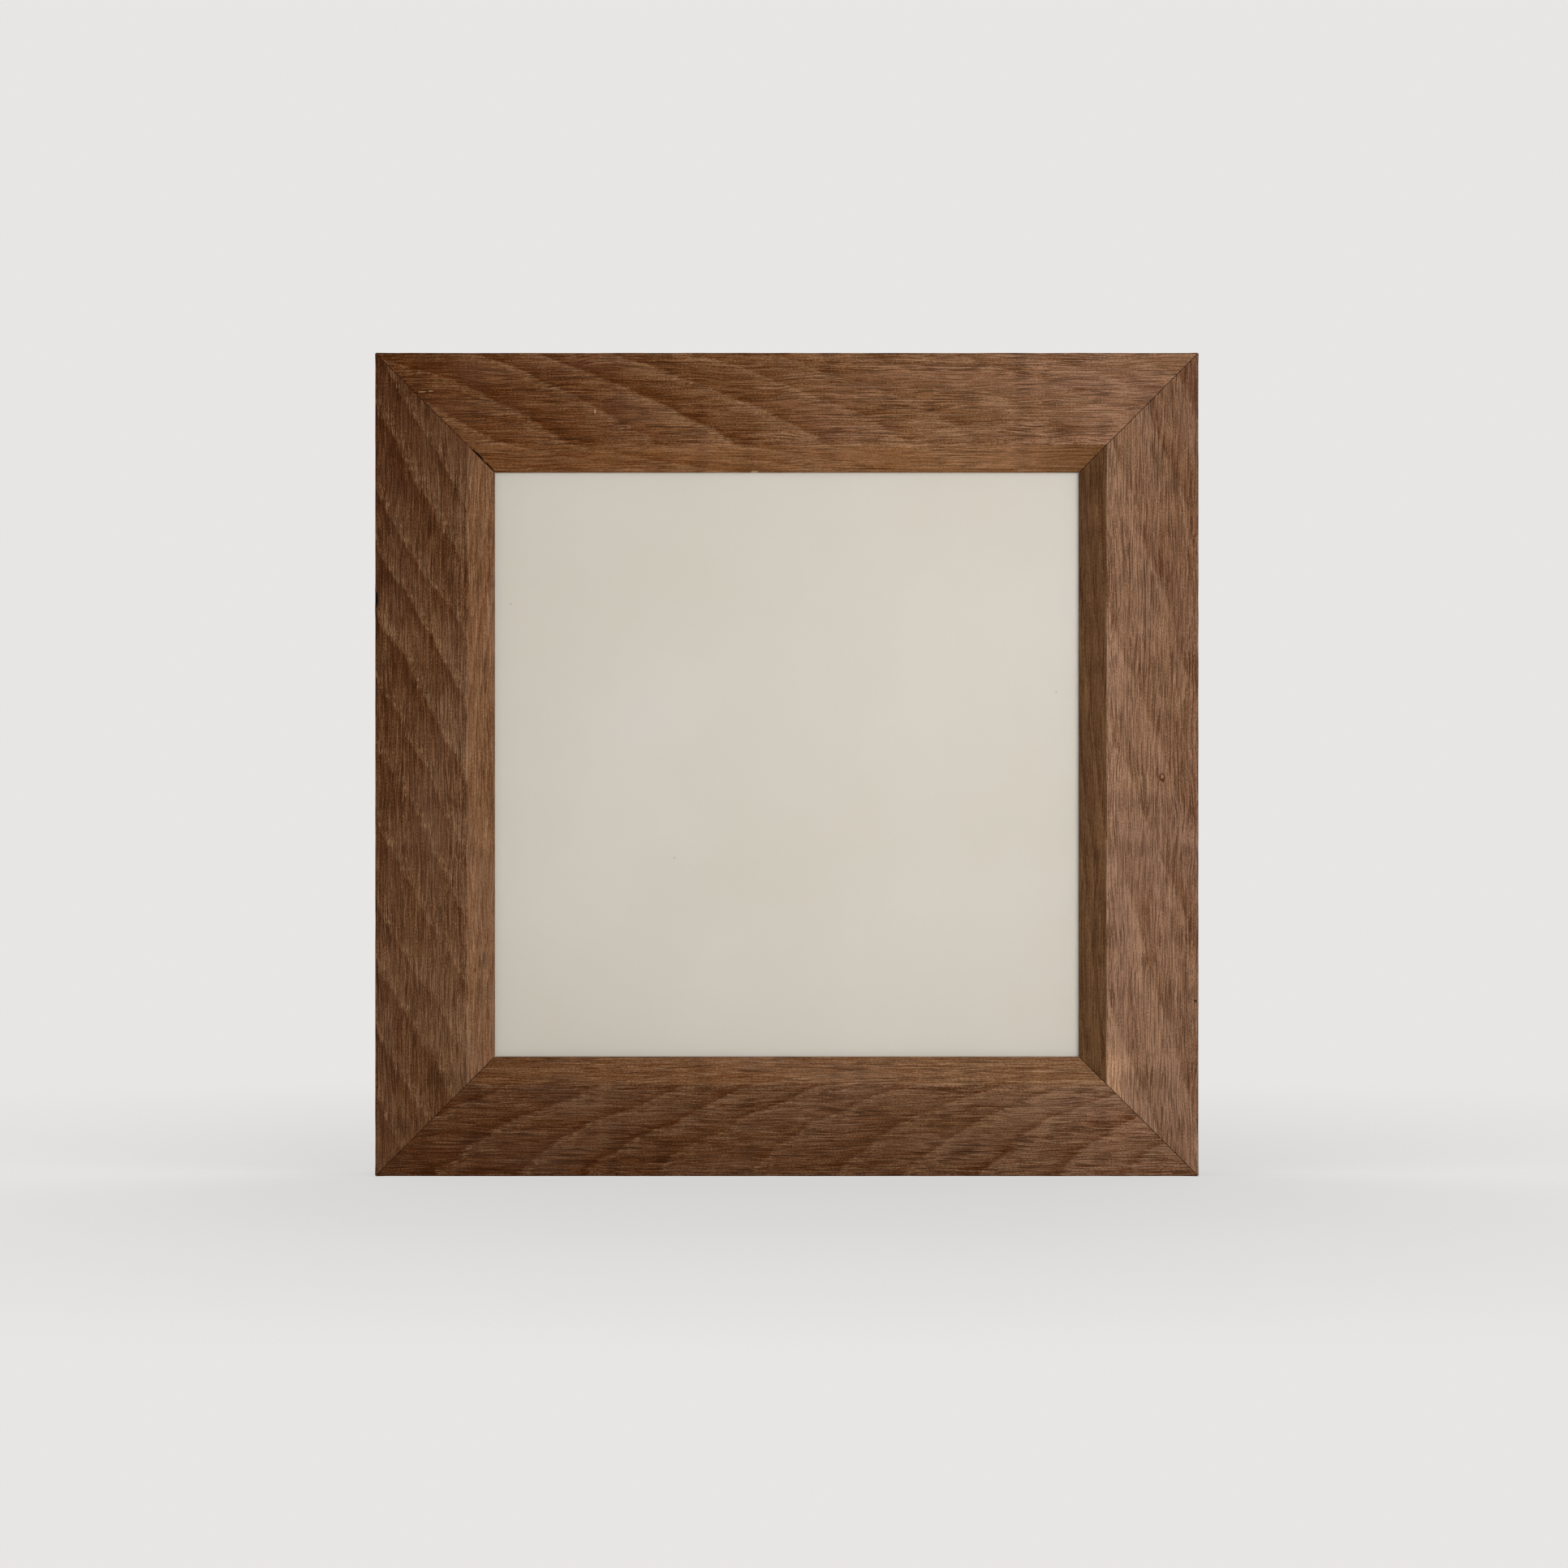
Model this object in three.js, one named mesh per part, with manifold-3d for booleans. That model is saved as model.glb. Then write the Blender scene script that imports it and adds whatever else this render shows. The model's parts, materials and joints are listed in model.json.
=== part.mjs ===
// Square picture frame in dark stained oak for an 8 x 8 inch picture. Four mitred mouldings have a flat
// face, a bevel down to the sight edge and a rabbet behind it, which holds the glass, the picture card, a
// filler and the back board. V-nails close the mitres, turn buttons keep the pack in, and a sawtooth hanger
// and two bumpers meet the wall.
//
// Sizes are in millimetres. The frame stands on its bottom edge: +X is to the right as seen from the front,
// +Y runs from front to back and +Z is up. The origin is the middle of the bottom edge.

import * as THREE from "three";
import { mergeVertices } from "three/addons/utils/BufferGeometryUtils.js";
import Module from "manifold-3d";

// The picture, and the sheets that lie in the rabbet from front to back
const pictureWidth = 203;
const pictureHeight = 203;
const sheetPlay = 1; // between the edge of a sheet and the wall of the rabbet
const sheetGap = 0.05; // between one sheet and the next
const glassThickness = 2;
const cardThickness = 0.5;
const fillerThickness = 4.8; // 3/16 inch board
const boardThickness = 3;

// The moulding
const flatWidth = 30.5;
const bevelWidth = 8.5;
const bevelDrop = 8.5;
const lipThickness = 1; // between the sight edge's front arris and the glass
const rabbetWidth = 5.5;
const outerArris = 0.8; // radii of the eased edges
const bevelArris = 0.5;
const backArris = 0.5;
const mitreGap = 0.2; // glue line between two members

// V-nails, pressed into the back across each mitre
const nailThickness = 0.5;
const nailWing = 7;
const nailLip = 1.4;
const nailHeight = 10;
const nailSink = 0.3; // below the back of the wood
const nailClearance = 0.2;
const nailInset = 8; // from both outer edges of the frame to the apex of the outer nail
const nailMargin = 7.5; // from the wings of the inner nail to the wall of the rabbet

// Turn buttons, two on each stile
const buttonThickness = 1;
const buttonRim = 2.1; // metal around the screw's head
const buttonTipRadius = 4;
const buttonTipLift = 1.2;
const buttonGap = 0.3; // running gap over the wood and the board
const buttonSetback = 8; // from the screw to the wall of the rabbet
const buttonGrip = 4; // from the wall of the rabbet to the bend that lifts the tip
const buttonLap = 11; // from the wall of the rabbet to the end of the tip
const buttonSpacing = 120; // between the two screws of one stile
const buttonScrew = { radius: 1.5, bite: 12, headRadius: 3.4, headHeight: 1.9 };
const buttonHoleClearance = 0.3;

// Sawtooth hanger, in the middle of the top rail
const hangerThickness = 0.9;
const hangerHeight = 11;
const hangerCorner = 3;
const hangerStandoff = 1.6; // of the toothed bridge from the wood
const hangerBridge = 28; // length of the toothed bridge
const hangerRamp = 2; // length of each slope up to the bridge
const hangerTab = 7; // length of the flat tab around each screw
const hangerNotches = 11; // an odd number, so that one is in the middle
const hangerNotchDepth = 1.5;
const hangerArch = 1.3; // rise of the toothed edge in its middle
const hangerScrew = { radius: 1.1, bite: 10, headRadius: 2.3, headHeight: 1.2 };
const hangerHoleClearance = 0.2;

// Fit of every screw, whose bite is its length in the wood
const pilotClearance = 0.2; // radial
const pilotEndGap = 0.5;
const headGap = 0.2;

// Bumpers on the bottom rail
const bumperRadius = 5;
const bumperThickness = 3.5;
const bumperRound = 1.4;
const bumperInset = 12; // from the frame's bottom edge
const bumperSetIn = 36; // from the frame's outer side

const finishes = {
  oak: { color: "#6b4a32", roughness: 0.6, metalness: 0 },
  glass: { color: "#eef2ef", roughness: 0.05, metalness: 0, transparent: true, opacity: 0.25 },
  card: { color: "#d0c9bd", roughness: 0.85, metalness: 0 },
  greyboard: { color: "#a39a8c", roughness: 0.9, metalness: 0 },
  hardboard: { color: "#6f5138", roughness: 0.75, metalness: 0 },
  zinc: { color: "#b9bcbe", roughness: 0.35, metalness: 1 },
  rubber: { color: "#2b2927", roughness: 0.7, metalness: 0 },
};

const faceWidth = flatWidth + bevelWidth;
const rabbetInset = faceWidth - rabbetWidth; // from the outer edge to the wall of the rabbet
const sheets = [
  { name: "glass_pane", thickness: glassThickness, finish: "glass" },
  { name: "picture_card", thickness: cardThickness, finish: "card" },
  { name: "filler_board", thickness: fillerThickness, finish: "greyboard" },
  { name: "back_board", thickness: boardThickness, finish: "hardboard" },
];
const packDepth = sheets.reduce((depth, { thickness }) => depth + thickness + sheetGap, 0);
const frameDepth = bevelDrop + lipThickness + packDepth;
const frameWidth = pictureWidth + 2 * (sheetPlay + rabbetInset);
const frameHeight = pictureHeight + 2 * (sheetPlay + rabbetInset);
const frontY = -frameDepth / 2;
const backY = frameDepth / 2;
const lipBackY = frontY + bevelDrop + lipThickness;
const quarterTurn = Math.PI / 2;
const cutPast = 1; // how far a cutting tool runs past the face that it cuts

// Places of the fittings, measured from the outer edge of their member
const nailInsets = { outer: nailInset, inner: rabbetInset - nailMargin - nailWing };
const buttonInset = rabbetInset - buttonSetback;
const buttonEyeRadius = buttonScrew.headRadius + buttonRim;
const buttonReach = buttonSetback + buttonLap - buttonTipRadius; // from the screw to the tip's own middle
const hangerInset = rabbetInset / 2;
const hangerLength = hangerBridge + 2 * (hangerRamp + hangerTab);
const hangerHoleSpacing = hangerBridge + 2 * hangerRamp + hangerTab;

const wasm = await Module();
wasm.setup();

// Geometry as a solid that can be cut, and back
function solidOf(geometry) {
  const bare = new THREE.BufferGeometry();
  bare.setAttribute("position", geometry.getAttribute("position").clone());
  if (geometry.index) bare.setIndex(geometry.index.clone());
  const merged = mergeVertices(bare, 1e-4);
  const vertProperties = new Float32Array(merged.attributes.position.array);
  const triVerts = new Uint32Array(merged.index.array);
  return new wasm.Manifold(new wasm.Mesh({ numProp: 3, vertProperties, triVerts }));
}

function geometryOf(solid) {
  const { vertProperties, triVerts } = solid.getMesh();
  const geometry = new THREE.BufferGeometry();
  geometry.setAttribute("position", new THREE.BufferAttribute(vertProperties, 3));
  geometry.setIndex(new THREE.BufferAttribute(triVerts, 1));
  const faceted = geometry.toNonIndexed();
  faceted.computeVertexNormals();
  return faceted;
}

// A closed outline through [x, y, radius] corners, each rounded to its radius
function roundedOutline(corners) {
  const shape = new THREE.Shape();
  corners.forEach(([x, y, radius], i) => {
    const corner = new THREE.Vector2(x, y);
    const toBefore = new THREE.Vector2(...corners.at(i - 1)).sub(corner).normalize();
    const toAfter = new THREE.Vector2(...corners[(i + 1) % corners.length]).sub(corner).normalize();
    const reach = radius / Math.tan(toBefore.angleTo(toAfter) / 2);
    const start = corner.clone().addScaledVector(toBefore, reach);
    const end = corner.clone().addScaledVector(toAfter, reach);
    if (i === 0) shape.moveTo(start.x, start.y);
    else shape.lineTo(start.x, start.y);
    if (radius > 0) shape.quadraticCurveTo(x, y, end.x, end.y);
  });
  return shape;
}

// The outline of a strip of sheet metal, bent along a path of [x, y] points
function bentStrip(path, thickness) {
  const points = path.map(([x, y]) => new THREE.Vector2(x, y));
  const across = (from, to) => new THREE.Vector2(from.y - to.y, to.x - from.x).normalize();
  const normals = points.map((point, i) => {
    const before = i > 0 ? across(points[i - 1], point) : across(point, points[1]);
    const after = i < points.length - 1 ? across(point, points[i + 1]) : before;
    return before.clone().add(after).divideScalar(1 + before.dot(after));
  });
  const edge = (distance) => points.map((point, i) => point.clone().addScaledVector(normals[i], distance));
  return new THREE.Shape([...edge(thickness / 2), ...edge(-thickness / 2).reverse()]);
}

function circle(radius, x = 0, z = 0) {
  return new THREE.Shape().absarc(x, z, radius, 0, 2 * Math.PI);
}

// A slab between two depths, whose outline is drawn as seen from the front: x to the right and z up
function slab(outline, fromY, toY) {
  const geometry = new THREE.ExtrudeGeometry(outline, { depth: toY - fromY, bevelEnabled: false });
  const seenFromFront = new THREE.Matrix4().makeBasis(
    new THREE.Vector3(1, 0, 0),
    new THREE.Vector3(0, 0, 1),
    new THREE.Vector3(0, -1, 0),
  );
  return geometry.applyMatrix4(seenFromFront).translate(0, toY, 0);
}

// Sheet metal with a bent side view, in x and y, and a stamped outline, in x and z
function stampedPlate(sidePath, thickness, outline, holes) {
  const reach = new THREE.Box2().setFromPoints(outline.getPoints()).max.y + cutPast;
  const side = new THREE.ExtrudeGeometry(bentStrip(sidePath, thickness), {
    depth: 2 * reach,
    bevelEnabled: false,
  }).translate(0, 0, -reach);
  const depths = sidePath.map(([, y]) => y);
  const fromY = Math.min(...depths) - thickness;
  const toY = Math.max(...depths) + thickness;
  let plate = solidOf(side).intersect(solidOf(slab(outline, fromY, toY)));
  for (const hole of holes) plate = plate.subtract(solidOf(slab(hole, fromY, toY)));
  return geometryOf(plate);
}

// The V of a nail: its apex at the origin, its wings along +x and +z, and their hooked ends
function nailOutline(clearance) {
  const hook = nailLip + clearance;
  const path = [
    [nailWing, hook],
    [nailWing, 0],
    [0, 0],
    [0, nailWing],
    [hook, nailWing],
  ];
  return bentStrip(path, nailThickness + 2 * clearance);
}

// The slots for the V-nails at one end of a member: x and turn place the frame's corner there
function nailSlots(x, turn) {
  const fromY = backY - nailSink - nailHeight - nailClearance;
  return Object.values(nailInsets).map((inset) => {
    const slot = slab(nailOutline(nailClearance), fromY, backY + cutPast);
    return solidOf(slot.translate(inset, 0, inset).rotateY(turn).translate(x, 0, 0));
  });
}

// Two pilot holes in a member's back, spaced along it at a distance from its outer edge
function pilotPair(spacing, inset, { radius, bite }) {
  const fromY = backY - bite - pilotEndGap;
  return [-1, 1].map((end) => {
    const outline = circle(radius + pilotClearance, (end * spacing) / 2, inset);
    return solidOf(slab(outline, fromY, backY + cutPast));
  });
}

// One member, lying along X about its middle: its outer edge at z = 0, and inwards is up
function member(length, pilots) {
  const profile = roundedOutline([
    [0, frontY, outerArris],
    [flatWidth, frontY, bevelArris],
    [faceWidth, frontY + bevelDrop, bevelArris],
    [faceWidth, lipBackY, 0],
    [rabbetInset, lipBackY, 0],
    [rabbetInset, backY, backArris],
    [0, backY, backArris],
  ]);
  const geometry = new THREE.ExtrudeGeometry(profile, {
    depth: length,
    curveSegments: 4,
    bevelEnabled: false,
  });

  // each end runs back with the distance from the outer edge, which is the 45 degree mitre
  const position = geometry.getAttribute("position");
  const glue = mitreGap / Math.SQRT2;
  for (let i = 0; i < position.count; i++) {
    const setBack = position.getX(i) + glue;
    position.setZ(i, position.getZ(i) === 0 ? setBack : length - setBack);
  }
  const alongX = new THREE.Matrix4().makeBasis(
    new THREE.Vector3(0, 0, 1),
    new THREE.Vector3(0, 1, 0),
    new THREE.Vector3(-1, 0, 0),
  );
  geometry.applyMatrix4(alongX).translate(length / 2, 0, 0);

  const cuts = [...nailSlots(-length / 2, 0), ...nailSlots(length / 2, -quarterTurn), ...pilots];
  return geometryOf(cuts.reduce((solid, cut) => solid.subtract(cut), solidOf(geometry)));
}

// A pan head screw along Y, for a plate whose back is at a height over the wood, which is at y = 0
function screw({ radius, bite, headRadius, headHeight }, plateBack) {
  const seat = plateBack + headGap;
  const pointLength = 2 * radius;
  const domeStart = 0.35 * headHeight;
  const profile = [
    new THREE.Vector2(0, -bite),
    new THREE.Vector2(radius, pointLength - bite),
    new THREE.Vector2(radius, seat),
    new THREE.Vector2(headRadius, seat),
    new THREE.Vector2(headRadius, seat + domeStart),
  ];
  const domeSteps = 4;
  for (let i = 1; i <= domeSteps; i++) {
    const angle = (quarterTurn * i) / domeSteps;
    const r = i < domeSteps ? headRadius * Math.cos(angle) : 0;
    profile.push(new THREE.Vector2(r, seat + domeStart + (headHeight - domeStart) * Math.sin(angle)));
  }
  const body = solidOf(new THREE.LatheGeometry(profile, 24));

  // cross recess for the driver
  const slotLength = 1.1 * headRadius;
  const slotWidth = 0.24 * headRadius;
  const recessDepth = 0.6 * headHeight;
  const slot = new THREE.BoxGeometry(slotLength, 2 * recessDepth, slotWidth);
  slot.translate(0, seat + headHeight, 0);
  const crossed = slot.clone().rotateY(quarterTurn);
  return geometryOf(body.subtract(solidOf(slot)).subtract(solidOf(crossed)));
}

// A turn button lying on the wood, on its screw at the origin, its tip towards +X
function turnButton() {
  const low = buttonGap + buttonThickness / 2;
  const tipX = buttonSetback + buttonLap;
  const side = [
    [-buttonEyeRadius - cutPast, low],
    [buttonSetback + buttonGrip, low],
    [tipX, low + buttonTipLift],
    [tipX + cutPast, low + buttonTipLift],
  ];
  const tangent = Math.acos((buttonEyeRadius - buttonTipRadius) / buttonReach);
  const outline = new THREE.Shape()
    .absarc(0, 0, buttonEyeRadius, tangent, 2 * Math.PI - tangent)
    .absarc(buttonReach, 0, buttonTipRadius, -tangent, tangent);
  const hole = circle(buttonScrew.radius + buttonHoleClearance);
  return stampedPlate(side, buttonThickness, outline, [hole]);
}

// A sawtooth hanger on the wood, its screw holes level with the origin and its teeth below
function sawtoothHanger() {
  const halfBridge = hangerBridge / 2;
  const low = hangerThickness / 2;
  const high = low + hangerStandoff;
  const side = [
    [-hangerLength / 2 - cutPast, low],
    [-halfBridge - hangerRamp, low],
    [-halfBridge, high],
    [halfBridge, high],
    [halfBridge + hangerRamp, low],
    [hangerLength / 2 + cutPast, low],
  ];
  const blank = roundedOutline([
    [-hangerLength / 2, -hangerHeight / 2, hangerCorner],
    [hangerLength / 2, -hangerHeight / 2, hangerCorner],
    [hangerLength / 2, hangerHeight / 2, hangerCorner],
    [-hangerLength / 2, hangerHeight / 2, hangerCorner],
  ]);

  // what the die takes off the lower edge, which leaves the arched row of teeth
  const teethLength = hangerBridge - 2 * hangerThickness;
  const bottomZ = -hangerHeight / 2;
  const waste = [[teethLength / 2, bottomZ - cutPast], [-teethLength / 2, bottomZ - cutPast]];
  for (let i = 0; i <= 2 * hangerNotches; i++) {
    const along = i / hangerNotches - 1;
    const arched = bottomZ + hangerArch * (1 - along * along);
    waste.push([(along * teethLength) / 2, arched + (i % 2 ? hangerNotchDepth : 0)]);
  }
  const teeth = new THREE.Shape(waste.map(([x, z]) => new THREE.Vector2(x, z)));

  const holeRadius = hangerScrew.radius + hangerHoleClearance;
  const holes = [-1, 1].map((end) => circle(holeRadius, (end * hangerHoleSpacing) / 2));
  return stampedPlate(side, hangerThickness, blank, [...holes, teeth]);
}

// A bumper stuck to the wood at y = 0, its face towards the wall
function bumper() {
  const profile = [new THREE.Vector2(0, 0), new THREE.Vector2(bumperRadius, 0)];
  const steps = 4;
  for (let i = 0; i <= steps; i++) {
    const angle = (quarterTurn * i) / steps;
    const r = bumperRadius - bumperRound * (1 - Math.cos(angle));
    profile.push(new THREE.Vector2(r, bumperThickness - bumperRound * (1 - Math.sin(angle))));
  }
  profile.push(new THREE.Vector2(0, bumperThickness));
  return new THREE.LatheGeometry(profile, 32);
}

const frame = new THREE.Group();
frame.name = "picture_frame";

function add(name, geometry, finish, x, y, z, turn = 0) {
  const material = new THREE.MeshStandardMaterial({ name: finish, ...finishes[finish] });
  const mesh = new THREE.Mesh(geometry, material);
  mesh.name = name;
  mesh.position.set(x, y, z);
  mesh.rotation.y = turn;
  frame.add(mesh);
}

// The four members: each lies on its own side of the frame, with its outer edge outwards
function addMembers() {
  const buttonPilots = pilotPair(buttonSpacing, buttonInset, buttonScrew);
  const hangerPilots = pilotPair(hangerHoleSpacing, hangerInset, hangerScrew);
  const rail = (pilots) => member(frameWidth, pilots);
  const stile = (pilots) => member(frameHeight, pilots);
  const right = frameWidth / 2;
  const middle = frameHeight / 2;
  add("bottom_rail", rail([]), "oak", 0, 0, 0);
  add("right_stile", stile(buttonPilots), "oak", right, 0, middle, -quarterTurn);
  add("top_rail", rail(hangerPilots), "oak", 0, 0, frameHeight, 2 * quarterTurn);
  add("left_stile", stile(buttonPilots), "oak", -right, 0, middle, quarterTurn);
}

// Two V-nails in each corner of the frame
function addNails() {
  const right = frameWidth / 2;
  const corners = [
    { name: "bottom_left", x: -right, z: 0, turn: 0 },
    { name: "bottom_right", x: right, z: 0, turn: -quarterTurn },
    { name: "top_right", x: right, z: frameHeight, turn: 2 * quarterTurn },
    { name: "top_left", x: -right, z: frameHeight, turn: quarterTurn },
  ];
  for (const corner of corners) {
    for (const [place, inset] of Object.entries(nailInsets)) {
      const nail = slab(nailOutline(0), backY - nailSink - nailHeight, backY - nailSink);
      nail.translate(inset, 0, inset);
      add(`v_nail_${corner.name}_${place}`, nail, "zinc", corner.x, 0, corner.z, corner.turn);
    }
  }
}

// The pack of sheets in the rabbet
function addSheets() {
  let sheetFront = lipBackY + sheetGap;
  for (const { name, thickness, finish } of sheets) {
    const sheet = new THREE.BoxGeometry(pictureWidth, thickness, pictureHeight);
    add(name, sheet, finish, 0, sheetFront + thickness / 2, frameHeight / 2);
    sheetFront += thickness + sheetGap;
  }
}

const flanks = { left: -1, right: 1 };

// Two turn buttons on each stile, pointing inwards, with their screws
function addTurnButtons() {
  for (const [flank, side] of Object.entries(flanks)) {
    for (const [level, end] of [["lower", -1], ["upper", 1]]) {
      const x = side * (frameWidth / 2 - buttonInset);
      const z = frameHeight / 2 + (end * buttonSpacing) / 2;
      const inwards = side < 0 ? 0 : 2 * quarterTurn;
      const fastener = screw(buttonScrew, buttonGap + buttonThickness);
      add(`turn_button_${level}_${flank}`, turnButton(), "zinc", x, backY, z, inwards);
      add(`turn_button_screw_${level}_${flank}`, fastener, "zinc", x, backY, z);
    }
  }
}

// The sawtooth hanger and its screws, on the middle of the top rail's back
function addHanger() {
  const z = frameHeight - hangerInset;
  add("sawtooth_hanger", sawtoothHanger(), "zinc", 0, backY, z);
  for (const [flank, side] of Object.entries(flanks)) {
    const x = (side * hangerHoleSpacing) / 2;
    add(`hanger_screw_${flank}`, screw(hangerScrew, hangerThickness), "zinc", x, backY, z);
  }
}

function addBumpers() {
  for (const [flank, side] of Object.entries(flanks)) {
    const x = side * (frameWidth / 2 - bumperSetIn);
    add(`bumper_${flank}`, bumper(), "rubber", x, backY, bumperInset);
  }
}

addMembers();
addNails();
addSheets();
addTurnButtons();
addHanger();
addBumpers();

export default frame;
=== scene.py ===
# Looks of the square oak picture frame: four mitred mouldings round a bare card under glass, with the back
# board, turn buttons, sawtooth hanger and bumpers behind. Lengths are in mm, and the studio's in metres.

import json
import math
from contextlib import contextmanager
from functools import partial

import bmesh
import bpy
from mathutils import Matrix, Vector


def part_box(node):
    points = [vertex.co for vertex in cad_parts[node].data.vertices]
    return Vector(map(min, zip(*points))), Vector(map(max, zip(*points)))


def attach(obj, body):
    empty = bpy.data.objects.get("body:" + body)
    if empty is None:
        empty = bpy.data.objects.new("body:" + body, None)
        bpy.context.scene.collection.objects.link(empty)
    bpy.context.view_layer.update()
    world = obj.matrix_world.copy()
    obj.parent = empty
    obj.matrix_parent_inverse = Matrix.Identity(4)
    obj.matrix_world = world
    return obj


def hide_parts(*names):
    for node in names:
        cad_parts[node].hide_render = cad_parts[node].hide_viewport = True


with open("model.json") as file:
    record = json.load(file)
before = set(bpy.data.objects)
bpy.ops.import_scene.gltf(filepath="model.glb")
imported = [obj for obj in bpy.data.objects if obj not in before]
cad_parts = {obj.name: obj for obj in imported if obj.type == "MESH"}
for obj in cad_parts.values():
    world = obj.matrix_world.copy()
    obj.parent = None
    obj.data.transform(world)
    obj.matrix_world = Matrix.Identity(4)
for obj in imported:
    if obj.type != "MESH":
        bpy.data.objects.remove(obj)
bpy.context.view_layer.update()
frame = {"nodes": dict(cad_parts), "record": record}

MM = 0.001
FRAME_SIDE = round(2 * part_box("right_stile")[1].x / MM, 3)
FACE_WIDTH = round(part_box("bottom_rail")[1].z / MM, 3)
FRONT = round(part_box("bottom_rail")[0].y / MM, 3)
BEVEL_WIDTH = 8.5
FLAT_WIDTH = FACE_WIDTH - BEVEL_WIDTH
HALF_SIDE = FRAME_SIDE / 2
MIDDLE = Vector((0, 0, HALF_SIDE))

# Where each member lies: its directions, along it and inwards from its outer edge, and the scale, the turn
# about Y and the shift that bring it level, with u along it from its middle, w back from the front and v
# inwards from its outer edge
MEMBERS = {
    "bottom_rail": {
        "along": Vector((1, 0, 0)), "inwards": Vector((0, 0, 1)),
        "scale": (1, 1, 1), "turn": 0, "shift": (0, -FRONT, 0),
    },
    "top_rail": {
        "along": Vector((1, 0, 0)), "inwards": Vector((0, 0, -1)),
        "scale": (1, 1, -1), "turn": 0, "shift": (0, -FRONT, FRAME_SIDE),
    },
    "left_stile": {
        "along": Vector((0, 0, 1)), "inwards": Vector((1, 0, 0)),
        "scale": (-1, 1, 1), "turn": 90, "shift": (-HALF_SIDE, -FRONT, HALF_SIDE),
    },
    "right_stile": {
        "along": Vector((0, 0, 1)), "inwards": Vector((-1, 0, 0)),
        "scale": (1, 1, 1), "turn": 90, "shift": (-HALF_SIDE, -FRONT, HALF_SIDE),
    },
}

scene = bpy.context.scene


def linear(code):
    """An sRGB hex colour as linear red, green, blue and alpha."""
    parts = [int(code[i : i + 2], 16) / 255 for i in (1, 3, 5)]
    return [c / 12.92 if c <= 0.04045 else ((c + 0.055) / 1.055) ** 2.4 for c in parts] + [1.0]


def add_node(tree, kind, inputs=(), output=0, stops=(), **settings):
    """A shader node. Its inputs, in the order of its sockets or by their names, are values, or outputs of
    other nodes, which are linked. Gives the output asked for, or the node itself if it has none."""
    node = tree.nodes.new("ShaderNode" + kind)
    for name, value in settings.items():
        setattr(node, name, value)
    if stops:
        elements = node.color_ramp.elements
        while len(elements) < len(stops):
            elements.new(0.5)
        for element, (place, colour) in zip(elements, stops):
            element.position = place
            element.color = linear(colour) if isinstance(colour, str) else [colour] * 3 + [1.0]
    for socket, value in inputs.items() if isinstance(inputs, dict) else enumerate(inputs):
        if isinstance(value, bpy.types.NodeSocket):
            tree.links.new(value, node.inputs[socket])
        else:
            node.inputs[socket].default_value = value
    return node.outputs[output] if len(node.outputs) else node


# A Mix node's sockets for colours: how much of the second colour, the two colours, and the result
SHARE, BELOW, ABOVE, MIXED = 0, 6, 7, 2


def new_material(name):
    """An empty node material, its node tree and its Object coordinates."""
    material = bpy.data.materials.new(name)
    material.use_nodes = True
    material.node_tree.nodes.clear()
    return material, material.node_tree, add_node(material.node_tree, "TexCoord", output="Object")


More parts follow.
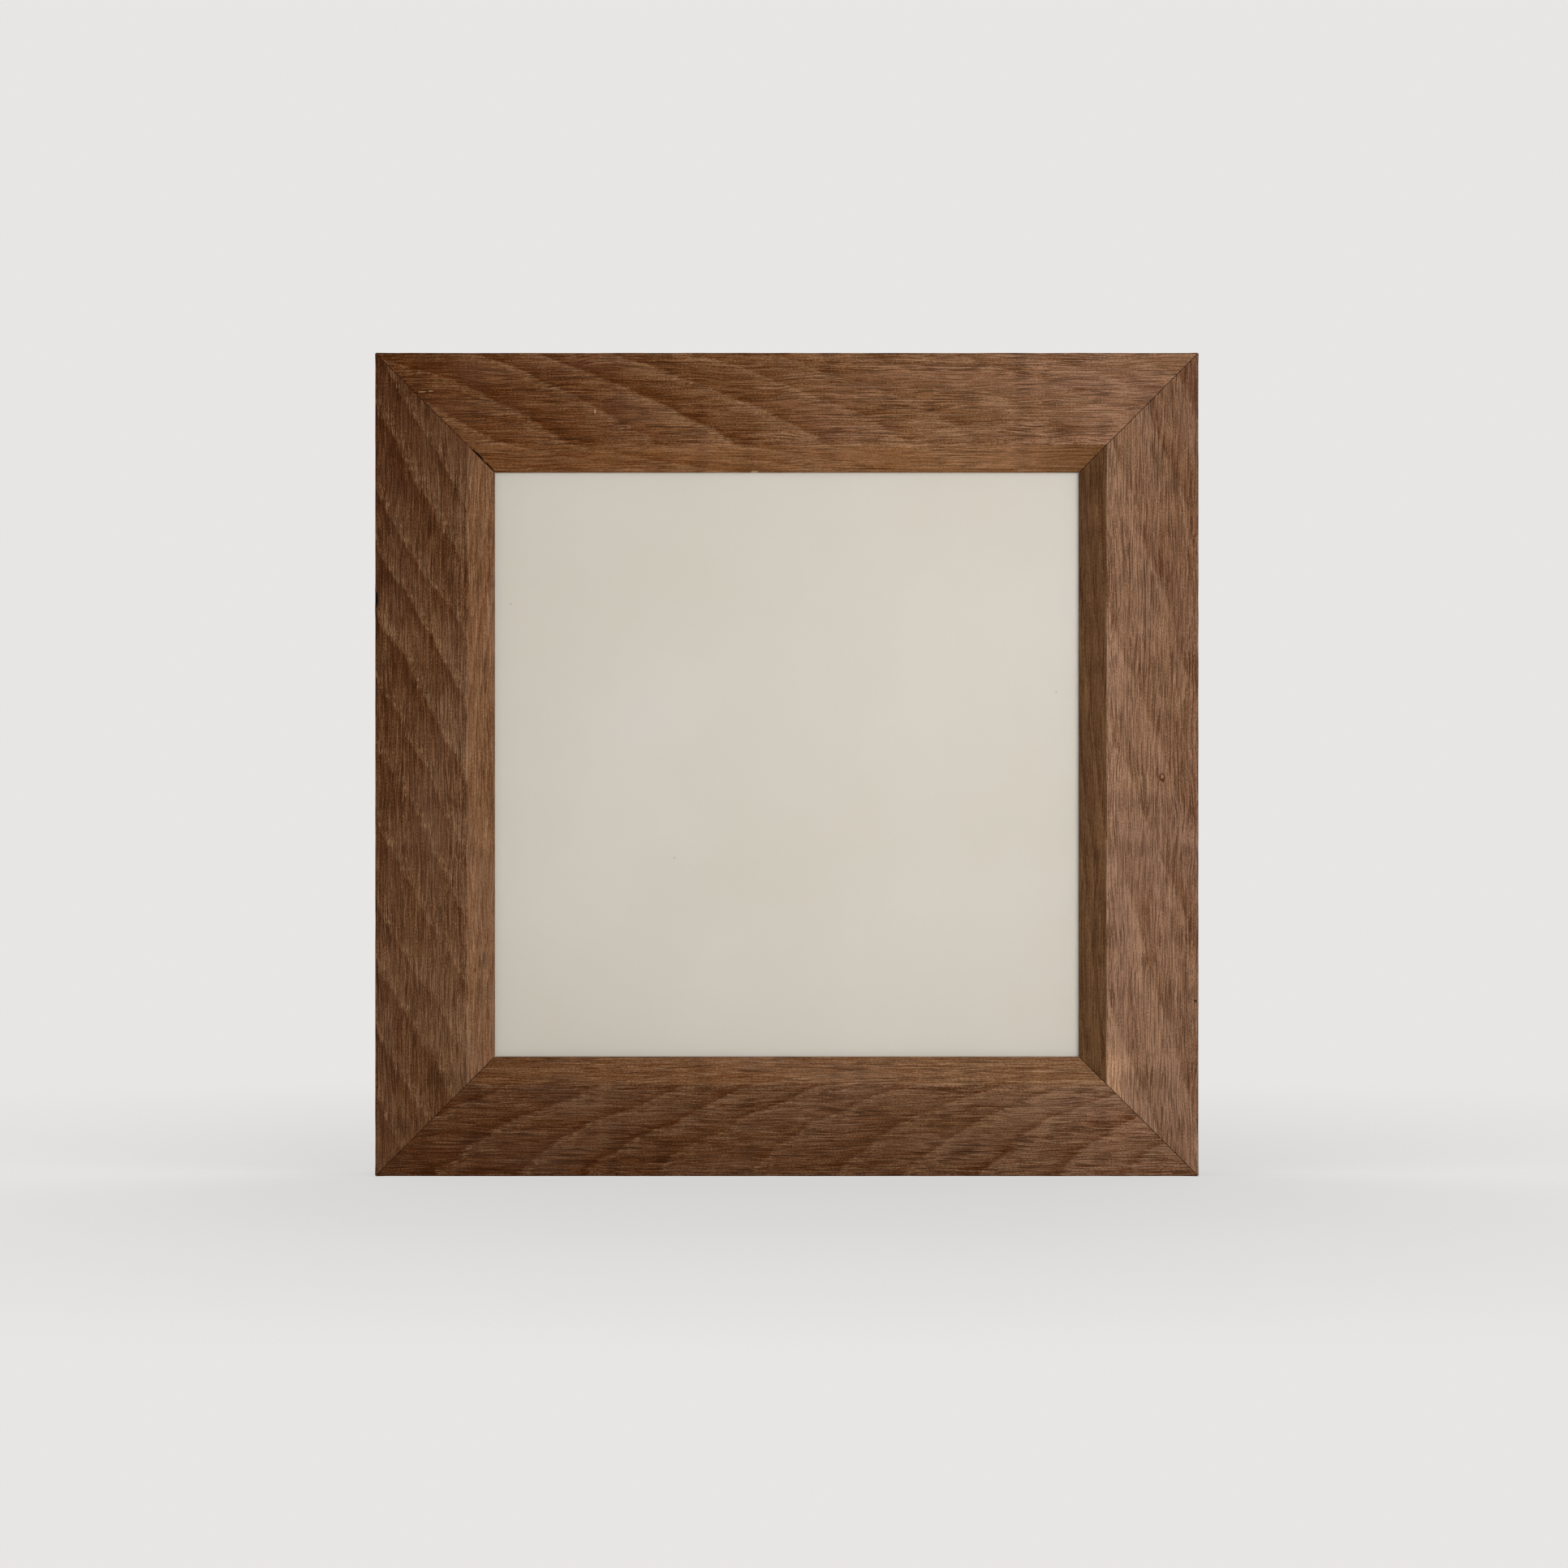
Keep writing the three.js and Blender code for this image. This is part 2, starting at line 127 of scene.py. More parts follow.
# The wood of each member. "rings" is the change of ring number over 1 mm along u, w and v, from "start" at
# their zero, and "curl" bends the rings across the board. They wander by up to about as many rings as
# "wander", and their edges have "teeth" up to about as many mm long. A ring darkens from "late" on, a share
# of its width. "ring_depth" is how strongly the rings show: less from the first u of "calm" to the second,
# down to a share, and times "bevel_rings" on the bevel. "pores" and "flecks" are how strongly these show, and
# "seed" moves every pattern. "fade" is the change of tone over 1 mm along and across. "palette" goes from
# dark to pale, with soft clouds of "cloud"; on the stiles it is partly painted light and shade, paler on the
# right one, nearer the light, and darker on the left one. "bevel" is how much lighter or darker, in red,
# green
# and blue, the bevel is: partly how it has taken the stain, and partly painted light and shade, lighter on
# the left and bottom bevels, which face the light, and darker on the right one, which faces away from it.
# "bevel_tone" is how strongly its grain shows. One of "patches" is a broad soft place on the flat or the
# bevel:
# its u and v, its reach along them, and its red, green and blue times. One of "spots" is a mark: its u, w and
# v, its reach along them, and its colour.
BOARDS = {
    "top_rail": {
        "rings": (-0.0364, 0.20, 0.13), "start": 0.56, "curl": -0.00155, "wander": 0.35, "teeth": 3.5,
        "late": 0.5, "ring_depth": 0.27, "calm": (-15, 35, 0.4), "bevel_rings": 0.6,
        "pores": 0.66, "flecks": 0.7, "seed": 3.0, "fade": (0.0016, 0.0),
        "palette": ["#4d2608", "#694124", "#755033", "#825d42", "#9b765a"], "cloud": "#764f3b",
        "bevel": (1.23, 1.23, 1.17), "bevel_tone": 0.75,
        "patches": [
            ("bevel", (102, 35), (24, 12), (0.66, 0.59, 0.46)),
            ("flat", (-90, 15), (45, 30), (0.93, 0.9, 0.86)),
            ("flat", (105, 18), (40, 28), (0.97, 0.97, 1.07)),
        ],
        "spots": [
            ((-63.3, 0, 19.5), (0.3, 1, 0.9), "#9e8069"),  # pale nick
            ((-10.6, 9, 38.8), (1.3, 2, 0.4), "#a5805d"),  # bare wood of the chip
            ((-120.4, 0, 13.0), (1.1, 1, 0.22), "#8f7256"),  # two pale scratches beside the mitre
            ((-117.6, 0, 12.7), (0.8, 1, 0.2), "#8f7256"),
            # painted shade: the pinhole isn't modelled, and is a dark dot for the shade inside it
            ((73.3, 0, 19.9), (0.25, 1, 0.2), "#120a06"),  # pinhole
        ],
    },
    "bottom_rail": {
        "rings": (0.039, -0.20, -0.032), "start": 0.25, "curl": -0.00125, "wander": 0.35, "teeth": 3.5,
        "late": 0.8, "ring_depth": 0.22, "calm": (0, 1, 1.0), "bevel_rings": 0.5,
        "pores": 0.68, "flecks": 0.6, "seed": 17.0, "fade": (0.00105, 0.004),
        "palette": ["#421f05", "#563118", "#614028", "#6f4e37", "#8b694f"], "cloud": "#674a38",
        # the bevel's tint is partly its stain and partly painted light, as it faces up to the light
        "bevel": (1.6, 1.66, 1.63), "bevel_tone": 0.85,
        "patches": [
            ("bevel", (-99, 35), (22, 12), (0.88, 0.88, 0.86)),
            ("flat", (112, 18), (44, 30), (1.2, 1.23, 1.34)),
        ],
        "spots": [((19, 0, 28.4), (0.9, 1, 0.45), "#7d6352")],  # pale scuff
    },
    "left_stile": {
        "rings": (0.044, -0.40, 0.072), "start": 0.55, "curl": 0.0002, "wander": 0.4, "teeth": 3.3,
        "late": 0.65, "ring_depth": 0.23, "calm": (45, -5, 0.7), "bevel_rings": 0.8,
        "pores": 0.64, "flecks": 0.8, "seed": 29.0, "fade": (-0.0006, 0.006),
        # the palette is partly painted shade: darker, as this stile lies farthest from the light on the right
        "palette": ["#3e1e08", "#55311a", "#644129", "#725137", "#8a6850"], "cloud": "#5a3e2e",
        # the bevel's tint is partly its stain and partly painted light, as it faces the light on the right
        "bevel": (1.51, 1.59, 1.7), "bevel_tone": 0.7,
        "patches": [
            ("flat", (110, 15), (42, 30), (0.92, 0.9, 0.87)),
            ("flat", (-112, 15), (32, 30), (0.93, 0.9, 0.85)),
        ],
        "spots": [
            # painted shade: the hollow where the knot fell out is drawn black, as its shade looks
            ((54.6, 1.5, 0.0), (3.5, 2.2, 0.9), "#0d0705"),  # black hollow of the knot
            ((-68, 2.3, 32.8), (0.7, 2, 0.4), "#6e4324"),  # brown speck on the bevel
        ],
    },
    "right_stile": {
        "rings": (-0.022, 0.16, 0.062), "start": 0.2, "curl": 0.0, "wander": 0.45, "teeth": 4.0,
        "late": 0.6, "ring_depth": 0.21, "calm": (0, 1, 1.0), "bevel_rings": 0.9,
        "pores": 0.66, "flecks": 0.5, "seed": 41.0, "fade": (-0.0006, 0.007),
        # the palette is partly painted light: paler, as this stile lies nearest the light on the right
        "palette": ["#623e28", "#76533c", "#83624b", "#916d57", "#a37f66"], "cloud": "#63493e",
        # the bevel's tint is partly its stain and partly painted shade, as it faces away from the light
        "bevel": (0.52, 0.45, 0.315), "bevel_tone": 1.15,
        "patches": [("flat", (-104, 29), (13, 7), (1.42, 1.43, 1.36))],
        "spots": [
            ((-4.3, 0, 12.1), (1.4, 1, 1.1), "#4a2c1a"),  # nick, dark round a pale middle
            ((-4.0, 0, 12.2), (0.7, 1, 0.45), "#94694a"),
            ((-78, 0, 1.2), (0.4, 1, 0.4), "#2e2019"),  # dark speck
        ],
    },
}
TONES = (0.15, 0.35, 0.49, 0.63, 0.86)  # of the palette's colours, from 0 for dark to 1 for pale
PORE_BROWN = "#261104"
FLECK_TAN = "#9b7856"
GOLDEN_TINT = "#f8ffec"  # multiplies the stain where the wood below is yellower
GOLDEN_SHARE = 0.2
FIRST_YEAR = 40  # keeps every ring number above zero

PATCH_MIDDLE, PATCH_REACH = 5, 30  # along w, where a patch hardly fades before the back

# The unevenness of the wood: how long, deep and wide each kind's features are, how many finer layers lie in
# them, and how strongly. Real fibres and sanding grit are about 0.1 mm wide, and are drawn about three times
# as wide, so that they show.
UNEVEN = {
    "teeth": ((4.5, 1.0, 0.45), 2.0, 0.65),
    "bows between teeth": ((30, 10, 7), 1.0, 0.5),
    "waves of the rings": ((75, 30, 26), 1.5, 0.5),
    "calm places": ((40, 16, 12), 1.0, 0.5),
    "sway of the fibres": ((26, 9, 7), 1.0, 0.5),
    "streaks": ((44, 1.4, 0.6), 2.0, 0.6),
    "fine fibres": ((9, 0.5, 0.26), 1.0, 0.6),
    "hairs": ((34, 0.8, 0.3), 1.0, 0.5),
    "grit": ((0.6, 0.34, 0.32), 1.0, 0.5),
    "arris wear and highlight": ((30, 9, 9), 2.0, 0.5),
    "soft places": ((40, 16, 14), 2.0, 0.5),
    "clouds": ((45, 18, 15), 1.0, 0.5),
    "golden places": ((60, 18, 14), 1.0, 0.5),
    "sway of the pores": ((50, 20, 7), 1.0, 0.5),
    "pore lines": ((36, 1.2, 0.34), 1.0, 0.5),
    "closed pores": ((30, 9, 6), 1.0, 0.5),
}
TEETH_BOW, FIBRE_SWAY, PORE_SWAY = 9.0, 2.4, 4.0  # twice how far these push things

# Cells with a dash in each: length, width, the dash's reach as a share of both, and a shift that sets the
# cells apart from the others. The dashes are up to 0.35 mm wide, about as the open pores of oak. Its flecks
# are finer, and are drawn up to 0.23 mm wide, so that they show.
PORE_CELLS = (
    (34, 0.62, 0.29, 0.0), (22, 0.5, 0.29, 5.3), (15, 0.45, 0.31, 11.7), (13, 0.6, 0.28, 41.9),
    (9, 0.4, 0.29, 17.1),
)
FLECK_CELLS = ((5, 0.42, 0.27, 23.9), (3, 0.4, 0.28, 31.3))


class StainedOak:
    """Oak, planed and sanded, stained walnut brown and left matt. Growth rings go from pale open-pored early
    wood to dark late wood and break off sharply at the next ring, in teeth along the grain. Dark pore dashes
    and paler flecks run along every face."""

    def __init__(self, node):
        self.board, lie = BOARDS[node], MEMBERS[node]
        self.material, tree, place = new_material(f"stained oak {node}")
        self.add = partial(add_node, tree)
        self.level = self.add("Mapping", {
            "Vector": place, "Scale": [s / MM for s in lie["scale"]],
            "Rotation": (0, math.radians(lie["turn"]), 0), "Location": lie["shift"],
        })
        parts = self.add("SeparateXYZ", [self.level]).node.outputs
        self.u, self.v = parts["X"], parts["Z"]
        self.bevel = self.add("MapRange", [self.v, FLAT_WIDTH - 0.3, FLAT_WIDTH + 0.3])
        season = self.grow_rings()
        self.lay_fibres()
        colour = self.stain(self.tone_of(season))
        colour = self.spot(self.open_pores(colour))
        self.finish(colour)

    def uneven(self, kind, lie=None):
        """A kind of unevenness, from -0.5 to 0.5, in the level wood or in the lie of its fibres."""
        seed = self.board["seed"]
        size, detail, roughness = UNEVEN[kind]
        spread = self.add("Mapping", {
            "Vector": self.level if lie is None else lie,
            "Scale": [1 / s for s in size], "Location": (seed, 2 * seed, 3 * seed),
        })
        inputs = {"Vector": spread, "Scale": 1.0, "Detail": detail, "Roughness": roughness}
        return self.add("Math", [self.add("TexNoise", inputs), 0.5], operation="SUBTRACT")

    def pushed(self, **by):
        """The level place, pushed along its axes."""
        push = self.add("CombineXYZ", by)
        return self.add("VectorMath", [self.level, push], operation="ADD")

    def away_from(self, middle, size):
        """How far each point is from the middle of a mark, where 1 is the mark's edge."""
        mark = self.add("Mapping", {
            "Vector": self.level, "Scale": [1 / s for s in size],
            "Location": [-p / s for p, s in zip(middle, size)],
        })
        return self.add("VectorMath", [mark], "Value", operation="LENGTH")

    def grow_rings(self):
        """How pale or dark the season is, around 0. Teeth push the ring edges to and fro along the grain,
        slow waves push them about, and some years are wider or stronger than others."""
        board, add = self.board, self.add
        teeth = add("Math", [self.uneven("teeth"), 2 * board["teeth"]], operation="MULTIPLY")
        bows = self.uneven("bows between teeth")
        teeth = add("Math", [bows, TEETH_BOW, teeth], operation="MULTIPLY_ADD")
        rings = add("VectorMath", [self.pushed(X=teeth), board["rings"]], "Value", operation="DOT_PRODUCT")
        waves = self.uneven("waves of the rings")
        rings = add("Math", [waves, 2 * board["wander"], rings], operation="MULTIPLY_ADD")
        bent = add("Math", [self.v, 2.0], operation="POWER")
        rings = add("Math", [bent, board["curl"], rings], operation="MULTIPLY_ADD")
        rings = add("Math", [rings, board["start"] + FIRST_YEAR], operation="ADD")
        widths = add("TexNoise", {"W": rings, "Scale": 0.55, "Detail": 1.0}, noise_dimensions="1D")
        rings = add("Math", [widths, 0.6, rings], operation="MULTIPLY_ADD")
        self.age = add("Math", [rings], operation="FRACT")

        year = add("Math", [rings], operation="FLOOR")
        strength = add("TexWhiteNoise", {"W": year}, noise_dimensions="1D")
        strength = add("MapRange", [strength, 0, 1, 0.6, 1.2])
        start, end, share = board["calm"]
        for part in (
            add("MapRange", [self.uneven("calm places"), -0.2, 0.1, 0.5]),
            add("MapRange", [self.u, start, end, 1.0, share]),
            add("MapRange", [self.bevel, 0, 1, 1.0, board["bevel_rings"]]),
        ):
            strength = add("Math", [strength, part], operation="MULTIPLY")
        late = board["late"]
        early_stops = [(0, 0.58), (0.05, 0.71), (0.15, 0.66), (0.5 * late, 0.55)]
        late_stops = [(late, 0.44), (0.96, 0.08), (1, 0.3)]
        season = add("ValToRGB", {"Fac": self.age}, stops=early_stops + late_stops)
        season = add("Math", [season, 0.5], operation="SUBTRACT")
        return add("Math", [season, strength], operation="MULTIPLY")

    def lay_fibres(self):
        """Fibres that wave a little: streaks, fine and hair-fine lines, and the grit of the sanded face."""
        sway = self.uneven("sway of the fibres")
        self.wave = self.add("Math", [sway, FIBRE_SWAY], operation="MULTIPLY")
        self.grain = self.pushed(Y=self.wave, Z=self.wave)
        self.streaks = self.uneven("streaks", self.grain)
        self.fine = self.uneven("fine fibres", self.grain)
        self.hairs = self.uneven("hairs", self.grain)
        self.grit = self.uneven("grit")

    def tone_of(self, season):
        """The tone, from 0 for dark to 1 for pale: the season, the fibres, broad soft places, the paler arris
        of the bevel, worn and with a painted highlight where it catches the light, and the fade along and
        across the board."""
        board, add = self.board, self.add
        # paler along the bevel's arris: wear of the stain, and a painted highlight where the arris catches
        # the light
        from_arris = add("Math", [self.v, FLAT_WIDTH], operation="SUBTRACT")
        from_arris = add("Math", [from_arris], operation="ABSOLUTE")
        arris = add("MapRange", [from_arris, 0.6, 0.1])
        rubbed = add("MapRange", [self.uneven("arris wear and highlight"), 0.0, 0.15])
        arris = add("Math", [arris, rubbed], operation="MULTIPLY")
        across = add("Math", [self.v, FLAT_WIDTH], operation="MINIMUM")
        across = add("Math", [across, FLAT_WIDTH / 2], operation="SUBTRACT")
        fade_along, fade_across = board["fade"]
        tone = add("Math", [season, 2 * board["ring_depth"], 0.5], operation="MULTIPLY_ADD")
        for amount, layer in (
            (0.35, self.streaks), (0.8, self.fine), (0.6, self.hairs), (0.95, self.grit),
            (0.3, self.uneven("soft places")), (0.3, arris), (fade_along, self.u), (fade_across, across),
        ):
            tone = add("Math", [layer, amount, tone], operation="MULTIPLY_ADD")
        tone = add("Math", [tone, 0.5], operation="SUBTRACT")
        contrast = add("MapRange", [self.bevel, 0, 1, 1.0, board["bevel_tone"]])
        return add("Math", [tone, contrast, 0.5], operation="MULTIPLY_ADD")

    def stain(self, tone):
        """The stained colour: the palette, clouds, golden places, the bevel's tint of its own stain and of
        painted light and shade, and the patches.
        """
        board, add = self.board, self.add
        colour = add("ValToRGB", {"Fac": tone}, stops=list(zip(TONES, board["palette"])))
        cloudy = add("MapRange", [self.uneven("clouds"), 0.0, 0.25, 0.0, 0.4])
        inputs = {SHARE: cloudy, BELOW: colour, ABOVE: linear(board["cloud"])}
        colour = add("Mix", inputs, MIXED, data_type="RGBA")
        golden = add("MapRange", [self.uneven("golden places"), 0.12, -0.12, 0.0, GOLDEN_SHARE])
        # the bevel's tint holds painted light and shade as well as the bevel's own stain
        tints = [(golden, linear(GOLDEN_TINT)[:3]), (self.bevel, board["bevel"])]
        for face, (u, v), (length, width), times in board["patches"]:
            away = self.away_from((u, PATCH_MIDDLE, v), (length, PATCH_REACH, width))
            away = add("Math", [self.streaks, 1.5, away], operation="MULTIPLY_ADD")
            inside = add("MapRange", [away, 1.1, 0.4])
            on_face = self.bevel if face == "bevel" else add("Math", [1.0, self.bevel], operation="SUBTRACT")
            tints.append((add("Math", [inside, on_face], operation="MULTIPLY"), times))
        for share, times in tints:
            inputs = {SHARE: share, BELOW: colour, ABOVE: [*times, 1.0]}
            colour = add("Mix", inputs, MIXED, data_type="RGBA", blend_type="MULTIPLY")
        return colour

    def dashes(self, wrapped, length, width, reach, shift):
        """How far each point is inside a dash, at most one to a cell of that length and width."""
        cell = self.add("Mapping", {
            "Vector": wrapped, "Scale": (1 / length, 1 / width, 1),
            "Location": (shift, self.board["seed"] + shift, 0),
        })
        inputs = {"Vector": cell, "Scale": 1.0, "Randomness": 1.0}
        cells = self.add("TexVoronoi", inputs, voronoi_dimensions="2D").node.outputs
        luck = self.add("SeparateColor", [cells["Color"]])
        reached = self.add("Math", [luck, reach], operation="MULTIPLY")
        inside = self.add("Math", [reached, cells["Distance"]], operation="SUBTRACT")
        return self.add("MapRange", [inside, 0.0, 0.18 * reach])

    def open_pores(self, colour):
        """The colour with its pores and flecks, which lie on the girth of the moulding, so that every face
        shows them lengthwise. Flecks show most in the early wood."""
        board, add = self.board, self.add
        girth = add("VectorMath", [self.level, (0, 1, 1)], "Value", operation="DOT_PRODUCT")
        girth = add("Math", [girth, self.wave], operation="ADD")
        sway = self.uneven("sway of the pores")
        girth = add("Math", [sway, PORE_SWAY, girth], operation="MULTIPLY_ADD")
        wrapped = add("CombineXYZ", {"X": self.u, "Y": girth})
        lines = add("MapRange", [self.uneven("pore lines", self.grain), -0.13, -0.2])
        pores = add("Math", [lines, 0.7], operation="MULTIPLY")
        for cell in PORE_CELLS:
            pores = add("Math", [pores, self.dashes(wrapped, *cell)], operation="MAXIMUM")
        closed = add("MapRange", [self.uneven("closed pores"), -0.15, 0.1, 0.55])
        self.pores = add("Math", [pores, closed], operation="MULTIPLY")
        large, small = (self.dashes(wrapped, *cell) for cell in FLECK_CELLS)
        flecks = add("Math", [large, small], operation="MAXIMUM")
        early = add("MapRange", [self.age, 0.05, 0.35, 1.0, 0.12])
        flecks = add("Math", [flecks, early], operation="MULTIPLY")
        for marks, strength, paint in (
            (flecks, board["flecks"], FLECK_TAN), (self.pores, board["pores"], PORE_BROWN),
        ):
            share = add("Math", [marks, strength], operation="MULTIPLY")
            inputs = {SHARE: share, BELOW: colour, ABOVE: linear(paint)}
            colour = add("Mix", inputs, MIXED, data_type="RGBA")
        return colour

    def spot(self, colour):
        """The colour with the board's knots, nicks and chips, whose edges are ragged."""
        for middle, size, paint in self.board["spots"]:
            away = self.away_from(middle, size)
            away = self.add("Math", [self.fine, 1.6, away], operation="MULTIPLY_ADD")
            inputs = {SHARE: self.add("MapRange", [away, 1.1, 0.8]), BELOW: colour, ABOVE: linear(paint)}
            colour = self.add("Mix", inputs, MIXED, data_type="RGBA")
        return colour

    def finish(self, colour):
        """A matt face on which the pores are open grooves, and the fibres stand a little proud."""
        add = self.add
        relief = add("Math", [self.streaks, 1.5, self.fine], operation="MULTIPLY_ADD")
        relief = add("Math", [self.grit, 0.6, relief], operation="MULTIPLY_ADD")
        relief = add("Math", [self.pores, -1.0, relief], operation="MULTIPLY_ADD")
        shader = add("BsdfPrincipled", {
            "Base Color": colour,
            "Roughness": add("MapRange", [self.streaks, -0.4, 0.4, 0.78, 0.62]),
            "Normal": add("Bump", {"Strength": 0.6, "Distance": 0.12 * MM, "Height": relief}),
            "Specular IOR Level": 0.06,
        })
        add("OutputMaterial", [shader])


# The other finishes. The scale of a noise is its number of humps to the millimetre, over MM.

CARD_SPECKS = ((-91.7, 189.4), (-37.4, 105.0), (89.6, 160.3))  # x and z


def clear_glass():
    """Float glass, 2 mm, polished: colourless at this thickness, with a faint pale mirror of the room. Lamps,
    and light from the card, pass straight through it."""
    material, tree, place = new_material("float glass")
    smears = add_node(tree, "TexNoise", {"Vector": place, "Scale": 0.04 / MM, "Detail": 3.0})
    surface = add_node(tree, "BsdfPrincipled", {
        "Base Color": linear("#fefffe"), "Transmission Weight": 1.0, "IOR": 1.5,
        "Roughness": add_node(tree, "MapRange", {"Value": smears, "To Min": 0.0, "To Max": 0.03}),
    })
    through = add_node(tree, "BsdfTransparent", {"Color": linear("#fefffe")})
    paths = add_node(tree, "LightPath").node.outputs
    for rays in ("Is Shadow Ray", "Is Diffuse Ray"):
        surface = add_node(tree, "MixShader", [paths[rays], surface, through])
    add_node(tree, "OutputMaterial", [surface])
    return material


def blank_card():
    """Uncoated off-white card: matt, with a faint cloudiness of its fibres and a speck here and there. The
    fibres are under 0.1 mm wide, and are drawn about 1 mm wide, so that they show."""
    material, tree, place = new_material("off-white card")
    clouds = add_node(tree, "TexNoise", {"Vector": place, "Scale": 0.014 / MM, "Detail": 4.0})
    fibres = add_node(tree, "TexNoise", {"Vector": place, "Scale": 0.9 / MM, "Detail": 3.0})
    tint = add_node(tree, "ValToRGB", {"Fac": clouds}, stops=[(0.35, "#cac2b6"), (0.65, "#cec5bd")])
    card_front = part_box("picture_card")[0].y
    for x, z in CARD_SPECKS:
        speck = (x * MM, card_front, z * MM)
        away = add_node(tree, "VectorMath", [place, speck], "Value", operation="DISTANCE")
        share = add_node(tree, "MapRange", [away, 0.5 * MM, 0.2 * MM, 0.0, 0.3])
        inputs = {SHARE: share, BELOW: tint, ABOVE: linear("#5b5148")}
        tint = add_node(tree, "Mix", inputs, MIXED, data_type="RGBA")
    shader = add_node(tree, "BsdfPrincipled", {
        "Base Color": tint, "Roughness": 0.85, "Specular IOR Level": 0.2,
        "Normal": add_node(tree, "Bump", {"Strength": 0.3, "Distance": 0.03 * MM, "Height": fibres}),
    })
    add_node(tree, "OutputMaterial", [shader])
    return material


def pressed_board(name, light, dark, grit):
    """Pulp or fibre pressed into a sheet: matt, evenly mottled, with short fibres lying every way."""
    material, tree, place = new_material(name)
    inputs = {"Vector": place, "Scale": 1 / (grit * MM), "Detail": 5.0, "Roughness": 0.7}
    mottle = add_node(tree, "TexNoise", inputs)
    broad = add_node(tree, "TexNoise", {"Vector": place, "Scale": 0.022 / MM, "Detail": 2.0})
    mixed = add_node(tree, "Math", [broad, 0.4, mottle], operation="MULTIPLY_ADD")
    shader = add_node(tree, "BsdfPrincipled", {
        "Base Color": add_node(tree, "ValToRGB", {"Fac": mixed}, stops=[(0.5, dark), (0.9, light)]),
        "Normal": add_node(tree, "Bump", {"Strength": 0.4, "Distance": 0.06 * MM, "Height": mottle}),
        "Roughness": 0.75,
    })
    add_node(tree, "OutputMaterial", [shader])
    return material


def zinc_plate():
    """Stamped steel, zinc plated: a cool grey metal with a soft shine, faint clouds and tumbling marks."""
    material, tree, place = new_material("zinc plated steel")
    clouds = add_node(tree, "TexNoise", {"Vector": place, "Scale": 0.6 / MM, "Detail": 3.0})
    shader = add_node(tree, "BsdfPrincipled", {
        "Base Color": add_node(tree, "ValToRGB", {"Fac": clouds}, stops=[(0.3, "#bcc1c7"), (0.7, "#cdd1d5")]),
        "Roughness": add_node(tree, "MapRange", {"Value": clouds, "To Min": 0.25, "To Max": 0.45}),
        "Metallic": 1.0,
    })
    add_node(tree, "OutputMaterial", [shader])
    return material


def moulded_rubber():
    """Moulded black rubber: matt, faintly grained, a little dusty."""
    material, tree, place = new_material("moulded rubber")
    grain = add_node(tree, "TexNoise", {"Vector": place, "Scale": 1.5 / MM, "Detail": 2.0})
    stops = [(0.35, "#211f1e"), (0.75, "#35322f")]
    shader = add_node(tree, "BsdfPrincipled", {
        "Base Color": add_node(tree, "ValToRGB", {"Fac": grain}, stops=stops),
        "Normal": add_node(tree, "Bump", {"Strength": 0.3, "Distance": 0.05 * MM, "Height": grain}),
        "Roughness": 0.7,
    })
    add_node(tree, "OutputMaterial", [shader])
    return material


def dried_glue():
    """Wood glue with sanding dust rubbed in: dark, dull brown, uneven along the joint."""
    material, tree, place = new_material("dried wood glue")
    dust = add_node(tree, "TexNoise", {"Vector": place, "Scale": 0.26 / MM, "Detail": 3.0})
    stops = [(0.35, "#170b05"), (0.66, "#2e1b10"), (0.76, "#7c6858")]
    shader = add_node(tree, "BsdfPrincipled", {
        "Base Color": add_node(tree, "ValToRGB", {"Fac": dust}, stops=stops),
        "Roughness": 0.8, "Specular IOR Level": 0.06,
    })
    add_node(tree, "OutputMaterial", [shader])
    return material


# Shared steps in the making of pieces

BODIES = frame["record"]["behaviour"]["bodies"]
BODY_OF = {node: body for body, nodes in BODIES.items() for node in nodes}


def pick(piece):
    bpy.ops.object.select_all(action="DESELECT")
    piece.select_set(True)
    bpy.context.view_layer.objects.active = piece


@contextmanager
def editing(piece):
    """Edit mode on a piece, with all of it selected at first."""
    pick(piece)
    bpy.ops.object.mode_set(mode="EDIT")
    bpy.ops.mesh.select_all(action="SELECT")
    yield
    bpy.ops.object.mode_set(mode="OBJECT")


def start_from(add_primitive, name, **sizes):
    """A primitive at the origin, as the start of a piece."""
    bpy.ops.object.select_all(action="DESELECT")
    add_primitive(location=(0, 0, 0), **sizes)
    piece = bpy.context.active_object
    piece.name = name
    return piece


def shape_of(node, name):
    """A new piece that starts from the shape of a node, its loose triangles joined."""
    piece = bpy.data.objects.new(name, frame["nodes"][node].data.copy())
    scene.collection.objects.link(piece)
    with editing(piece):
        bpy.ops.mesh.remove_doubles(threshold=0.001 * MM)
        bpy.ops.mesh.customdata_custom_splitnormals_clear()
    return piece


def copies_of(piece, names):
    """The piece and its copies under these names, each with its own mesh."""
    piece.name = names[0]
    pieces = [piece]
    for name in names[1:]:
        pieces.append(bpy.data.objects.new(name, piece.data.copy()))
        scene.collection.objects.link(pieces[-1])
    return pieces


def select_where(piece, test):
    """In edit mode, selects the corners whose place passes the test."""
    mesh = bmesh.from_edit_mesh(piece.data)
    bpy.ops.mesh.select_all(action="DESELECT")
    for corner in mesh.verts:
        corner.select = test(corner.co / MM)
    mesh.select_flush(True)
    bmesh.update_edit_mesh(piece.data)


def move_where(piece, test, move):
    """Moves the corners whose place passes the test."""
    with editing(piece):
        select_where(piece, test)
        bpy.ops.transform.translate(value=Vector(move) * MM)


